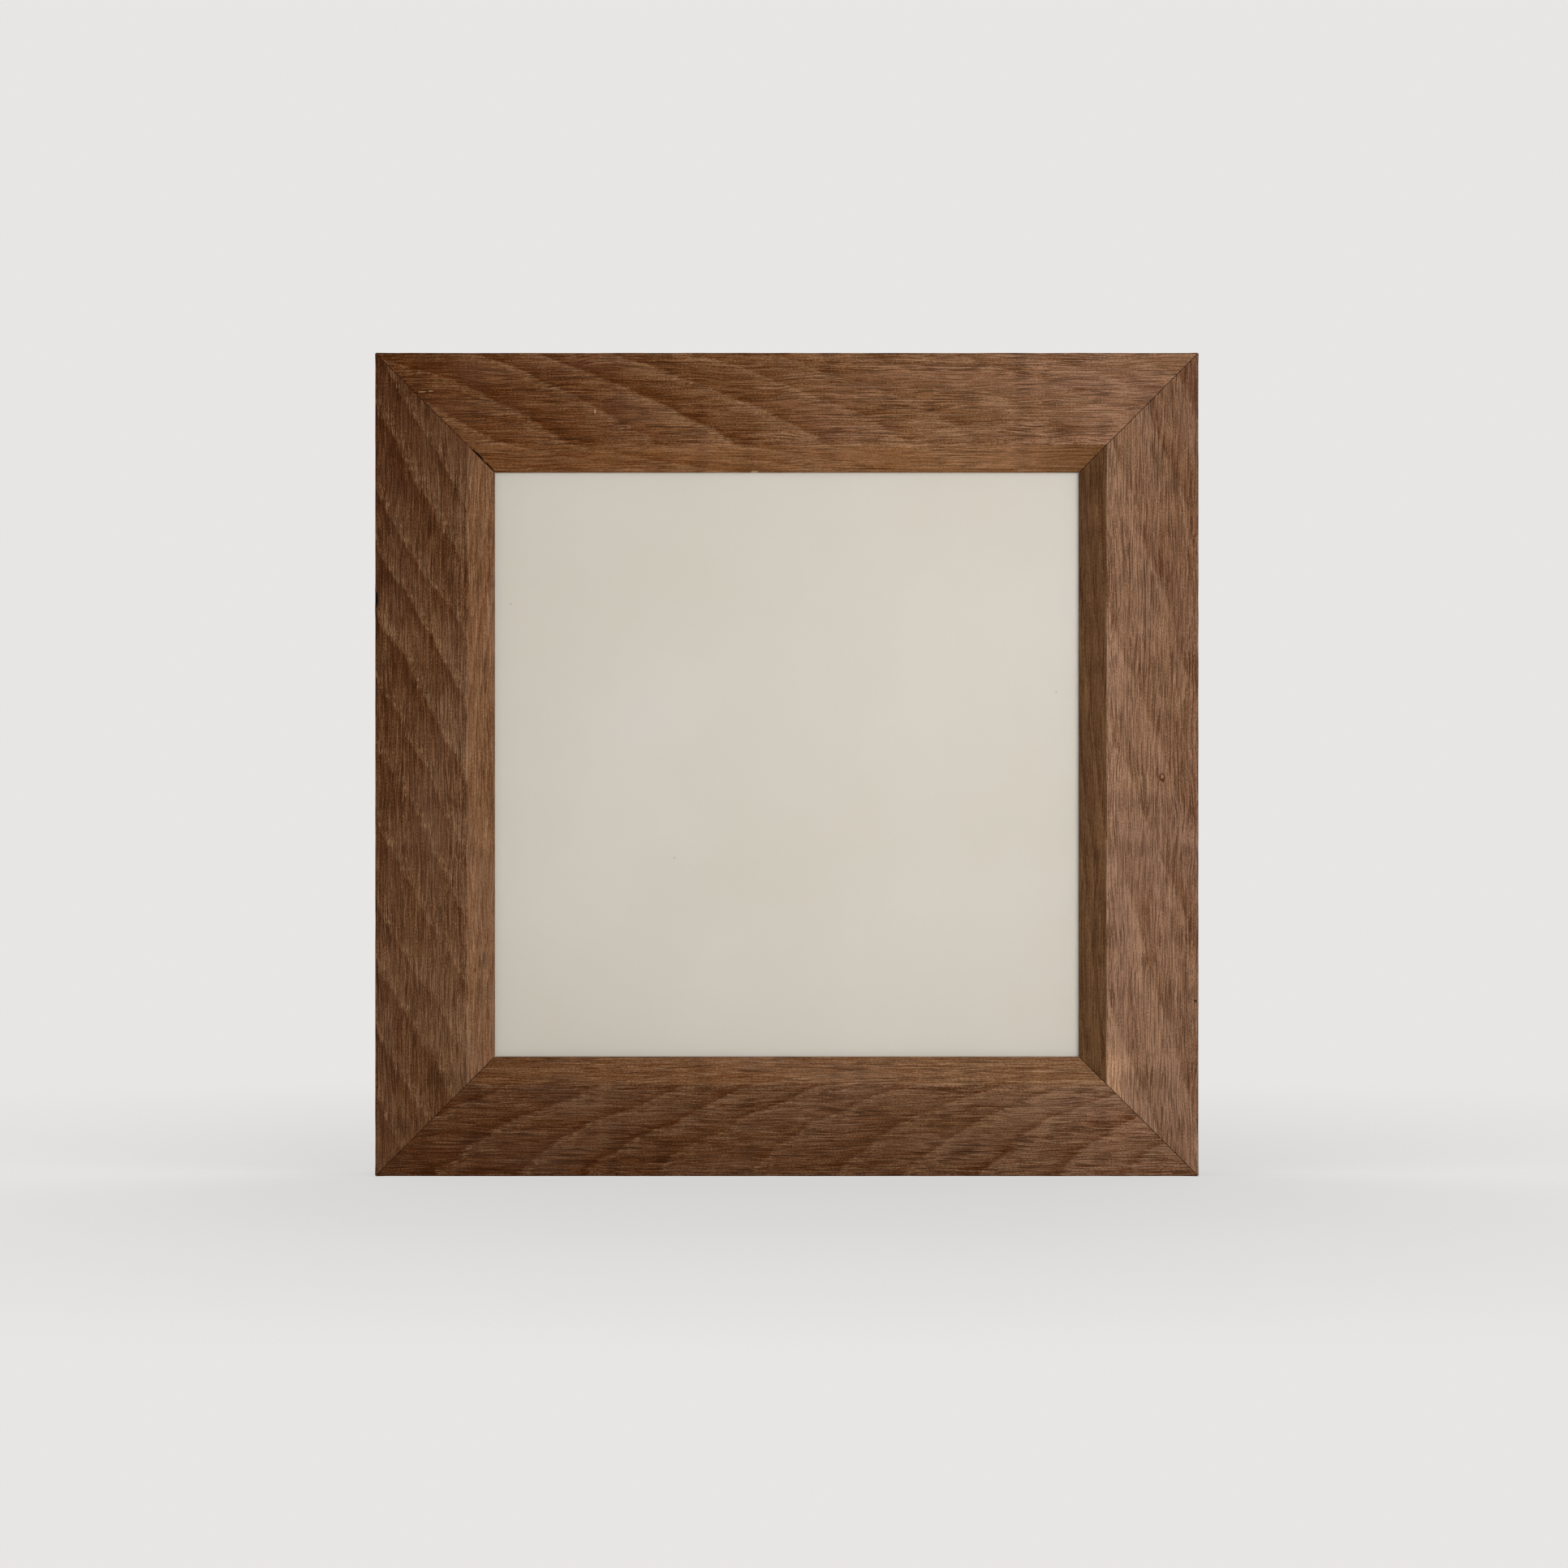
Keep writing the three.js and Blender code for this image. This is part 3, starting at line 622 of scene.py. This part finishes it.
def modify(piece, kind, **settings):
    """Adds a modifier to a piece and applies it."""
    pick(piece)
    modifier = piece.modifiers.new(kind.lower(), kind)
    for name, value in settings.items():
        setattr(modifier, name, value)
    bpy.ops.object.modifier_apply(modifier=modifier.name)


def shade(piece, degrees=35):
    """Smooth over gentle bends, and sharp at edges."""
    pick(piece)
    bpy.ops.object.shade_smooth_by_angle(angle=math.radians(degrees))
    modify(piece, "WEIGHTED_NORMAL", keep_sharp=True)


def dress(piece, material):
    piece.data.materials.clear()
    piece.data.materials.append(material)


def fit(piece, node, material):
    """The piece takes the place of the node, which is hidden, with this material, in the node's body."""
    dress(piece, material)
    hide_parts(node)
    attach(piece, BODY_OF[node])


# The members, cut and worn

CUTS_ALONG = range(-132, 133, 4)  # from the middle, for the arrises to waver at
CUT_INSETS = (8, 16, 24, 32, 34, 36, 38)
WORN_BEFORE = -0.6  # y, just in front of the back of the lip

KNOT = Vector((-HALF_SIDE, FRONT, 190.6))  # on the left stile's outer edge
KNOT_CUTS = (-3.4, -2.4, -1.2, 0, 1.3, 2.2, 3.0)
KNOT_INSET = 1.1  # of the cut just inwards of the hollow
KNOT_REACH = (0.9, 1.4)  # of the hollow, inwards from the outer edge and back from the front
KNOT_CLEARANCE = 4  # sanding keeps so far from the knot
KNOT_STEPS = ((3.2, 0.3), (2.3, 0.5), (1.2, 0.4))  # reach up and down, and how much deeper

MITRE_GAPS = ((32, 0.45), (34, 0.75), (36, 0.70), (38, 0.50), (39, 0.3))  # by inset, on the top left bevel

CHIP = Vector((-10.6, -1, FRAME_SIDE - FACE_WIDTH))  # on the top rail's sight edge
CHIP_CUTS = (-1.6, -0.9, 0.5, 1.3)
CHIP_REACH, CHIP_HEIGHT = 1, 0.6
CHIP_MOVE = (0, -0.25, 0.45)

# What hand sanding wears: the inset of each strip's middle, half its width, and its share of the wear
WORN_STRIPS = ((FACE_WIDTH, 0.8, 1.0), (FLAT_WIDTH, 1.2, 0.7), (0, 1.0, 0.6))
SANDING_DEPTH = 0.3

SANDING = bpy.data.textures.new("hand sanding", "CLOUDS")
SANDING.noise_scale = 9 * MM


def cut_across(piece, places, direction):
    """Cuts a member by planes at these places from the middle of the frame."""
    with editing(piece):
        for distance in places:
            bpy.ops.mesh.select_all(action="SELECT")
            bpy.ops.mesh.bisect(plane_co=(MIDDLE + direction * distance) * MM, plane_no=direction)


def drop_knot(piece, along, inwards):
    """A knot has fallen out of the front of the left stile's outer edge."""
    cut_across(piece, [(KNOT - MIDDLE).z + step for step in KNOT_CUTS], along)
    cut_across(piece, [KNOT_INSET - HALF_SIDE], inwards)
    inwards_reach, back_reach = KNOT_REACH
    for reach, depth in KNOT_STEPS:
        move_where(
            piece,
            lambda p: abs(p.z - KNOT.z) < reach and p.x < KNOT.x + inwards_reach
            and p.y < KNOT.y + back_reach,
            (0, depth, 0),
        )


def open_mitre(piece):
    """The joint has opened on the bevel at the left end of the top rail."""
    for inset, gap in MITRE_GAPS:
        bevel_front = FRONT + inset - FLAT_WIDTH
        move_where(
            piece,
            lambda p: abs(FRAME_SIDE - p.z - inset) < 0.1 and p.x < inset - HALF_SIDE + 0.3
            and p.y < bevel_front + 0.4,
            (gap, 0, 0),
        )


def chip_edge(piece, along):
    """A chip is off the top rail's sight edge."""
    cut_across(piece, [CHIP.x + step for step in CHIP_CUTS], along)
    move_where(
        piece,
        lambda p: abs(p.x - CHIP.x) < CHIP_REACH and p.z < CHIP.z + CHIP_HEIGHT and p.y < WORN_BEFORE,
        CHIP_MOVE,
    )


def wear_at(inset):
    """The share of the wear that is taken at this distance from the outer edge."""
    return next((share for middle, half, share in WORN_STRIPS if abs(inset - middle) < half), 0.0)


def sand_arrises(piece, along, inwards):
    """The arrises waver a little, as sanding by hand leaves them, but not at the mitres or the knot."""
    worn = piece.vertex_groups.new(name="arrises")
    for corner in piece.data.vertices:
        place = corner.co / MM
        inset = HALF_SIDE - (MIDDLE - place).dot(inwards)
        from_mitre = HALF_SIDE - abs((place - MIDDLE).dot(along)) - inset
        if from_mitre >= 0.5 and place.y <= WORN_BEFORE and (place - KNOT).length >= KNOT_CLEARANCE:
            worn.add([corner.index], wear_at(inset), "REPLACE")
    modify(
        piece, "DISPLACE", texture=SANDING, texture_coords="LOCAL", mid_level=1.0,
        strength=SANDING_DEPTH * MM, vertex_group=worn.name,
    )


def model_member(node):
    """One moulding, cut across so that its arrises can be worn."""
    along, inwards = MEMBERS[node]["along"], MEMBERS[node]["inwards"]
    piece = shape_of(node, "oak_" + node)
    cut_across(piece, CUTS_ALONG, along)
    cut_across(piece, [inset - HALF_SIDE for inset in CUT_INSETS], inwards)
    if node == "left_stile":
        drop_knot(piece, along, inwards)
    if node == "top_rail":
        open_mitre(piece)
        chip_edge(piece, along)
    sand_arrises(piece, along, inwards)
    shade(piece)
    fit(piece, node, StainedOak(node).material)


GLUE_BELOW = 0.35  # under the face of the wood, so that the joint shows as a dark hairline
GLUE_FILM = 0.24
GLUE_BACK = -0.6  # y
GLUE_CORNERS = {"bottom_left": 0, "top_left": 90, "top_right": 180, "bottom_right": 270}  # turn about Y


def model_glue_lines():
    """Brown glue in each mitre: a film that is modelled with x as the inset, then laid on each diagonal."""
    film = start_from(bpy.ops.mesh.primitive_cube_add, "glue_film", size=1.0)
    low = Vector((GLUE_BELOW, FRONT + GLUE_BELOW, -GLUE_FILM / 2))
    high = Vector((FACE_WIDTH - 0.1, GLUE_BACK, GLUE_FILM / 2))
    with editing(film):
        bpy.ops.transform.resize(value=(high - low) * MM)
        bpy.ops.transform.translate(value=(high + low) / 2 * MM)
        bpy.ops.mesh.select_all(action="SELECT")
        bpy.ops.mesh.bisect(
            plane_co=Vector((FLAT_WIDTH, FRONT + 1.4 * GLUE_BELOW, 0)) * MM, plane_no=(1, -1, 0),
            use_fill=True, clear_outer=True,
        )
    stretch = Matrix.Diagonal((math.sqrt(2), 1, 1, 1))
    diagonal = Matrix.Rotation(math.radians(-45), 4, "Y")
    to_corner = Matrix.Translation(Vector((-HALF_SIDE, 0, -HALF_SIDE)) * MM)
    to_middle = Matrix.Translation(MIDDLE * MM)
    glue = dried_glue()
    pieces = copies_of(film, ["glue_line_" + corner for corner in GLUE_CORNERS])
    for piece, turn in zip(pieces, GLUE_CORNERS.values()):
        around = Matrix.Rotation(math.radians(turn), 4, "Y")
        piece.data.transform(to_middle @ around @ to_corner @ diagonal @ stretch)
        dress(piece, glue)
        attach(piece, "frame")


# Fittings on the back

BROKEN_EDGES = {  # by the start of the nodes' names
    "back_board": 0.35, "sawtooth_hanger": 0.14, "turn_button_lower": 0.2, "turn_button_upper": 0.2,
    "v_nail": 0.08,
}
BUMPER_SHOULDER = 1.4  # radius
BUMPER_FOOT = 0.25

# Each kind of screw: the height of its head, the radii of its shank, thread and dome, the pitch and the turns
# of its thread, and half the length of its cross recess
SCREWS = {
    "turn_button_screw": {
        "head": 1.9, "shank": 1.05, "thread": 1.5, "pitch": 1.1, "turns": 8, "rounding": 1.2, "recess": 1.9,
    },
    "hanger_screw": {
        "head": 1.2, "shank": 0.78, "thread": 1.1, "pitch": 0.9, "turns": 8, "rounding": 0.75, "recess": 1.25,
    },
}
POINT_LENGTH, THREAD_START = 2.2, 2.4  # from the tip, in radii of the thread
THREAD_FOOT = 0.3  # half the thread's width at its foot, in pitches
RECESS_DEPTH = 0.62  # in heights of the head
RECESS_WIDTH = 0.34  # of a bar of the cross, in half lengths
RECESS_BOTTOM = (0.45, 1, 0.5)  # length, depth and width of a bar's bottom to its top's
FIRST_BAR, SECOND_BAR = 20, 110  # turns of the cross's bars
SCREW_SPIN = 37  # from one screw to the next, since no two are driven to the same turn


def ease_edges(node, width, material):
    """A stamped or sawn piece whose sharp edges are broken."""
    piece = shape_of(node, "eased_" + node)
    with editing(piece):
        bpy.ops.mesh.dissolve_limited(angle_limit=math.radians(0.5))
    modify(piece, "BEVEL", width=width * MM, segments=2, limit_method="ANGLE", angle_limit=math.radians(40))
    shade(piece)
    fit(piece, node, material)


def model_bumpers(nodes, rubber):
    """Stick-on bumpers, moulded with a round shoulder and a small lip at the foot."""
    low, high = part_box(nodes[0])
    radius, height = (high.x - low.x) / 2, high.y - low.y
    bumper = start_from(
        bpy.ops.mesh.primitive_cylinder_add, "bumper", vertices=64, radius=radius, depth=height,
        end_fill_type="NGON",
    )
    bumper.data.transform(Matrix.Rotation(math.radians(-90), 4, "X"))
    with editing(bumper):
        for end, rounding, segments in ((height / 2, BUMPER_SHOULDER, 8), (-height / 2, BUMPER_FOOT, 2)):
            select_where(bumper, lambda p: abs(p.y - end / MM) < 0.01)
            bpy.ops.mesh.bevel(offset=rounding * MM, segments=segments, affect="EDGES")
    for piece, node in zip(copies_of(bumper, ["moulded_" + node for node in nodes]), nodes):
        low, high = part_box(node)
        piece.data.transform(Matrix.Translation((low + high) / 2))
        shade(piece)
        fit(piece, node, rubber)


def turned(name, profile, steps):
    """A solid of revolution about the Y axis, from its side view as (radius, y)."""
    piece = start_from(
        bpy.ops.mesh.primitive_circle_add, name, vertices=len(profile), radius=MM, fill_type="NOTHING"
    )
    for corner, (radius, y) in zip(piece.data.vertices, profile):
        corner.co = Vector((radius, y, 0)) * MM
    with editing(piece):
        select_where(piece, lambda p: p.x < 0.001)
        bpy.ops.mesh.delete(type="EDGE")
        bpy.ops.mesh.select_all(action="SELECT")
        bpy.ops.mesh.spin(steps=steps, angle=math.tau, center=(0, 0, 0), axis=(0, 1, 0))
        bpy.ops.mesh.select_all(action="SELECT")
        bpy.ops.mesh.remove_doubles(threshold=0.002 * MM)
        bpy.ops.mesh.normals_make_consistent(inside=False)
    return piece


def join_shapes(piece, other, operation):
    """Joins another shape to a piece, or cuts it out, and clears the slivers that this leaves."""
    modify(piece, "BOOLEAN", object=other, operation=operation, solver="EXACT")
    bpy.data.objects.remove(other)
    with editing(piece):
        bpy.ops.mesh.remove_doubles(threshold=0.004 * MM)
        bpy.ops.mesh.dissolve_degenerate(threshold=0.004 * MM)


def screw_blank(made, head, tip, seat, top):
    """A pointed shank under a domed pan head of this radius."""
    shank, rounding = made["shank"], made["rounding"]
    dome = [
        (head - rounding * (1 - math.cos(t)), top - rounding * (1 - math.sin(t)))
        for t in [math.radians(15 * i) for i in range(7)]
    ]
    point = [(0, tip), (shank, tip + POINT_LENGTH * made["thread"])]
    neck = [(shank, seat - 0.3), (shank + 0.3, seat), (head, seat)]
    return turned("screw", [*point, *neck, *dome, (0, top)], 48)


def wound_thread(made, tip):
    """A triangle wound round the shank, from a little above the tip."""
    ridge = start_from(
        bpy.ops.mesh.primitive_circle_add, "thread", vertices=3, radius=MM, fill_type="NGON"
    )
    root, half = made["shank"] - 0.15, THREAD_FOOT * made["pitch"]
    for corner, (x, z) in zip(ridge.data.vertices, ((root, -half), (made["thread"], 0), (root, half))):
        corner.co = Vector((x, 0, z)) * MM
    modify(
        ridge, "SCREW", axis="Z", screw_offset=made["pitch"] * MM, iterations=made["turns"], steps=20,
        render_steps=20, angle=math.tau, use_merge_vertices=False,
    )
    upright = Matrix.Rotation(-math.pi / 2, 4, "X")
    ridge.data.transform(Matrix.Translation((0, (tip + THREAD_START * made["thread"]) * MM, 0)) @ upright)
    with editing(ridge):
        bpy.ops.mesh.remove_doubles(threshold=0.001 * MM)
        bpy.ops.mesh.select_all(action="DESELECT")
        bpy.ops.mesh.select_non_manifold()
        bpy.ops.mesh.fill()
        bpy.ops.mesh.select_all(action="SELECT")
        bpy.ops.mesh.normals_make_consistent(inside=False)
    return ridge


def recess_wings(made, seat, top):
    """The two bars of the driver's cross, which narrow towards the bottom of the recess."""
    wing = start_from(bpy.ops.mesh.primitive_cube_add, "wing", size=1)
    with editing(wing):
        recess = made["recess"] * MM
        bpy.ops.transform.resize(value=(2 * recess, 2 * MM, RECESS_WIDTH * recess))
        select_where(wing, lambda p: p.y < 0)
        bpy.ops.transform.resize(value=RECESS_BOTTOM)
    sunk = Matrix.Translation((0, (top - RECESS_DEPTH * (top - seat) + 1) * MM, 0))
    wings = copies_of(wing, ["first_wing", "second_wing"])
    for bar, turn in zip(wings, (FIRST_BAR, SECOND_BAR)):
        bar.data.transform(sunk @ Matrix.Rotation(math.radians(turn), 4, "Y"))
    return wings


def model_screws(kind, nodes, zinc):
    """Pan head wood screws: a domed head with a tapered cross recess, and a thread on a pointed shank."""
    made = SCREWS[kind]
    low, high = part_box(nodes[0])
    tip, top = low.y / MM, high.y / MM
    seat = top - made["head"]
    screw = screw_blank(made, (high.x - low.x) / 2 / MM, tip, seat, top)
    join_shapes(screw, wound_thread(made, tip), "UNION")
    for wing in recess_wings(made, seat, top):
        join_shapes(screw, wing, "DIFFERENCE")
    shape = screw.data.copy()
    for i, node in enumerate(nodes):
        piece = screw
        if i:
            # a copy of the first screw, with a mesh of its own
            piece = screw.copy()
            piece.data = shape.copy()
            scene.collection.objects.link(piece)
        piece.name = "threaded_" + node
        low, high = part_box(node)
        middle = (low + high) / 2
        spin = Matrix.Rotation(math.radians(SCREW_SPIN * i), 4, "Y")
        piece.data.transform(Matrix.Translation((middle.x, 0, middle.z)) @ spin)
        shade(piece, 30)
        fit(piece, node, zinc)


# Floor, air and lamps, in metres

STUDIO_AIR = "#e8e6e5"  # pale backdrop and floor
FLOOR_RADIUS = 4.0
CAMERA_PLACE = (-0.00094, -1.41, 0.12957)
LENS_LENGTH, FILM_WIDTH = 97.39, 36.0  # in mm
LAMPS = {
    "key lamp": {"at": (0.17, -0.58, 0.20), "size": 0.4, "watts": 2.64},
    "top lamp": {"at": (0.0, 0.35, 1.3), "size": 0.9, "watts": 4.0},
    "back lamp": {"at": (-0.5, 1.0, 0.55), "size": 0.7, "watts": 7.0},
}


def seen_directly(tree):
    """1 for the rays by which the camera, mirrors and glass see, and 0 for those that light things."""
    paths = add_node(tree, "LightPath").node.outputs
    seen = add_node(tree, "Math", [paths["Is Camera Ray"], paths["Is Glossy Ray"]], operation="MAXIMUM")
    return add_node(tree, "Math", [seen, paths["Is Transmission Ray"]], operation="MAXIMUM")


def fill_air():
    """Air that looks pale and lights things softly."""
    scene.world = bpy.data.worlds.new("studio air")
    scene.world.use_nodes = True
    tree = scene.world.node_tree
    tree.nodes.clear()
    ambient = add_node(tree, "Background", {"Color": linear("#ffffff"), "Strength": 0.3})
    backdrop = add_node(tree, "Background", {"Color": linear(STUDIO_AIR), "Strength": 1.0})
    mixed = add_node(tree, "MixShader", [seen_directly(tree), ambient, backdrop])
    add_node(tree, "OutputWorld", [mixed])


def floor_paper():
    """Matt paper that looks as pale as the air, a little darker under and beside the frame."""
    material, tree, _ = new_material("matt paper floor")
    shadow = add_node(tree, "AmbientOcclusion", {"Distance": 0.45}, "AO", samples=16)
    shadow = add_node(
        tree, "ValToRGB", {"Fac": shadow}, stops=[(0.55, 0.82), (0.86, 0.87), (0.95, 0.94), (1.0, 1.0)]
    )
    inputs = {SHARE: 1.0, BELOW: linear(STUDIO_AIR), ABOVE: shadow}
    shown = add_node(tree, "Mix", inputs, MIXED, data_type="RGBA", blend_type="MULTIPLY")
    paper = add_node(tree, "Emission", {"Color": shown, "Strength": 1.0})
    lit = add_node(tree, "BsdfDiffuse", {"Color": linear(STUDIO_AIR)})
    mixed = add_node(tree, "MixShader", [seen_directly(tree), lit, paper])
    add_node(tree, "OutputMaterial", [mixed])
    return material


def hang_lamps():
    """A soft key lamp from the right, and softer ones above and behind, all turned to the frame."""
    for name, lamp in LAMPS.items():
        light = bpy.data.lights.new(name, "AREA")
        light.shape = "DISK"
        light.size = lamp["size"]
        light.energy = lamp["watts"]
        holder = bpy.data.objects.new(name, light)
        scene.collection.objects.link(holder)
        holder.location = lamp["at"]
        holder.rotation_euler = (MIDDLE * MM - holder.location).to_track_quat("-Z", "Y").to_euler()
        holder.visible_camera = False
        # the card is lit through the glass, which would mirror the key lamp to the camera
        holder.visible_glossy = holder.visible_transmission = name != "key lamp"


def stand_camera():
    """The photograph looks straight at the front, level with a point just below the middle of the frame."""
    view = bpy.data.cameras.new("front view")
    view.lens = LENS_LENGTH
    view.sensor_width = FILM_WIDTH
    camera = bpy.data.objects.new("front view", view)
    camera.location = CAMERA_PLACE
    camera.rotation_euler = (math.radians(90), 0, 0)
    scene.collection.objects.link(camera)
    scene.camera = camera


for member in MEMBERS:
    model_member(member)
model_glue_lines()

zinc = zinc_plate()
hardboard = pressed_board("hardboard", "#8c6b45", "#66492b", 0.5)
ease_edges("back_board", BROKEN_EDGES["back_board"], hardboard)
ease_edges("sawtooth_hanger", BROKEN_EDGES["sawtooth_hanger"], zinc)
model_bumpers([node for node in frame["nodes"] if node.startswith("bumper")], moulded_rubber())
for kind in ("turn_button_lower", "turn_button_upper", "v_nail"):
    for fitting in [node for node in frame["nodes"] if node.startswith(kind)]:
        ease_edges(fitting, BROKEN_EDGES[kind], zinc)
for kind in SCREWS:
    model_screws(kind, [node for node in frame["nodes"] if node.startswith(kind)], zinc)

# the sheets behind the lip keep their CAD shape
dress(frame["nodes"]["glass_pane"], clear_glass())
dress(frame["nodes"]["picture_card"], blank_card())
dress(frame["nodes"]["filler_board"], pressed_board("greyboard", "#b3aa9b", "#918879", 0.8))

fill_air()
studio_floor = start_from(
    bpy.ops.mesh.primitive_circle_add, "studio_floor", vertices=64, radius=FLOOR_RADIUS, fill_type="NGON"
)
dress(studio_floor, floor_paper())
hang_lamps()
stand_camera()
scene.view_settings.view_transform = "Standard"
